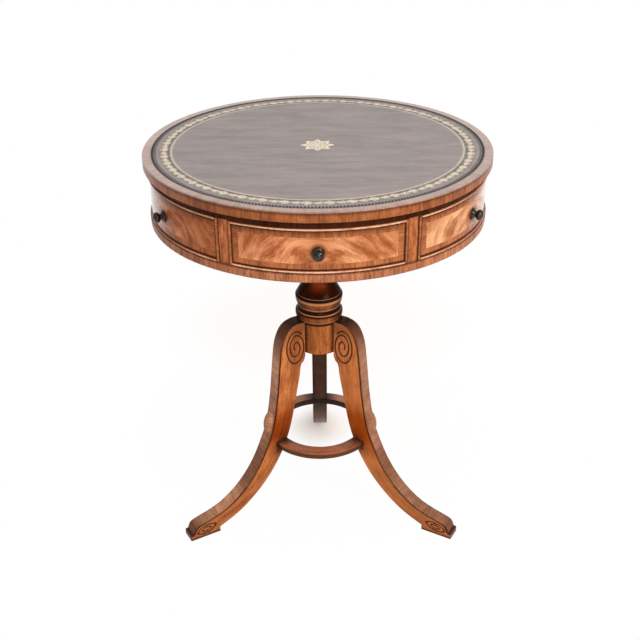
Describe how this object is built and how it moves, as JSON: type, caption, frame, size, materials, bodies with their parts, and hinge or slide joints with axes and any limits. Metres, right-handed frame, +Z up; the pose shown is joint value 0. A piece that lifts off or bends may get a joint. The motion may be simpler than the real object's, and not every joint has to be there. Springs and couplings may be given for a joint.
{
  "type": "drum table",
  "caption": "Round drum table: tooled leather top over a turning drum of curved drawers and dummy fronts, on a turned column with carved sabre legs and a ring stretcher.",
  "frame": {"origin": "floor level under the middle of the table, on the turning axis", "axes": "+Z up along the turning axis, -Y towards the front drawer, +X to the right seen from the front"},
  "size_m": [0.5099, 0.5262, 0.634],
  "materials": {
    "mahogany": "French polished, flame figured",
    "mahogany_crossband": "polished, grain across the rim",
    "leather": "waxed, gold and blind tooled",
    "dark_bronze": "dark antique bronze",
    "drawer_lining": "plain oak, waxed",
    "carcass_wood": "plain, unpolished",
    "steel": "plain",
    "iron": "blackened",
    "brass": "plain"
  },
  "bodies": {
    "pedestal": {"column": "mahogany", "bearer_block": "carcass_wood", "pivot_bolt": "steel", "pivot_nut": "steel", "leg_front_left": "mahogany", "leg_front_right": "mahogany", "leg_back": "mahogany", "stretcher_ring": "mahogany", "leg_plate": "iron", "leg_plate_screws": "steel"},
    "drum": {"top_board": "carcass_wood", "top_edge_lipping": "mahogany", "top_crossband": "mahogany_crossband", "leather_inset": "leather", "top_screws": "steel", "top_rail": "mahogany", "bottom_rail": "mahogany", "drum_floor": "carcass_wood", "hub_block": "carcass_wood", "pivot_bush": "brass", "stile_1": "mahogany", "stile_2": "mahogany", "stile_3": "mahogany", "stile_4": "mahogany", "stile_5": "mahogany", "stile_6": "mahogany", "drawer_runner_1": "carcass_wood", "drawer_runner_2": "carcass_wood", "drawer_runner_3": "carcass_wood", "dummy_1_front": "mahogany", "dummy_1_bead": "mahogany", "dummy_1_knob": "dark_bronze", "dummy_2_front": "mahogany", "dummy_2_bead": "mahogany", "dummy_2_knob": "dark_bronze", "dummy_3_front": "mahogany", "dummy_3_bead": "mahogany", "dummy_3_knob": "dark_bronze"},
    "drawer_1": {"drawer_1_front": "mahogany", "drawer_1_bead": "mahogany", "drawer_1_left_side": "drawer_lining", "drawer_1_right_side": "drawer_lining", "drawer_1_back": "drawer_lining", "drawer_1_bottom": "drawer_lining", "drawer_1_knob": "dark_bronze"},
    "drawer_2": {"drawer_2_front": "mahogany", "drawer_2_bead": "mahogany", "drawer_2_left_side": "drawer_lining", "drawer_2_right_side": "drawer_lining", "drawer_2_back": "drawer_lining", "drawer_2_bottom": "drawer_lining", "drawer_2_knob": "dark_bronze"},
    "drawer_3": {"drawer_3_front": "mahogany", "drawer_3_bead": "mahogany", "drawer_3_left_side": "drawer_lining", "drawer_3_right_side": "drawer_lining", "drawer_3_back": "drawer_lining", "drawer_3_bottom": "drawer_lining", "drawer_3_knob": "dark_bronze"}
  },
  "joints": [
    {"name": "drum_turn", "type": "hinge", "parent": "pedestal", "child": "drum", "pos_m": [0, 0, 0.55], "axis": [0, 0, 1], "continuous": true},
    {"name": "drawer_1_slide", "type": "slide", "parent": "drum", "child": "drawer_1", "axis": [0, -1, 0], "range_m": [0, 0.11]},
    {"name": "drawer_2_slide", "type": "slide", "parent": "drum", "child": "drawer_2", "axis": [0.866, 0.5, 0], "range_m": [0, 0.11]},
    {"name": "drawer_3_slide", "type": "slide", "parent": "drum", "child": "drawer_3", "axis": [-0.866, 0.5, 0], "range_m": [0, 0.11]}
  ]
}
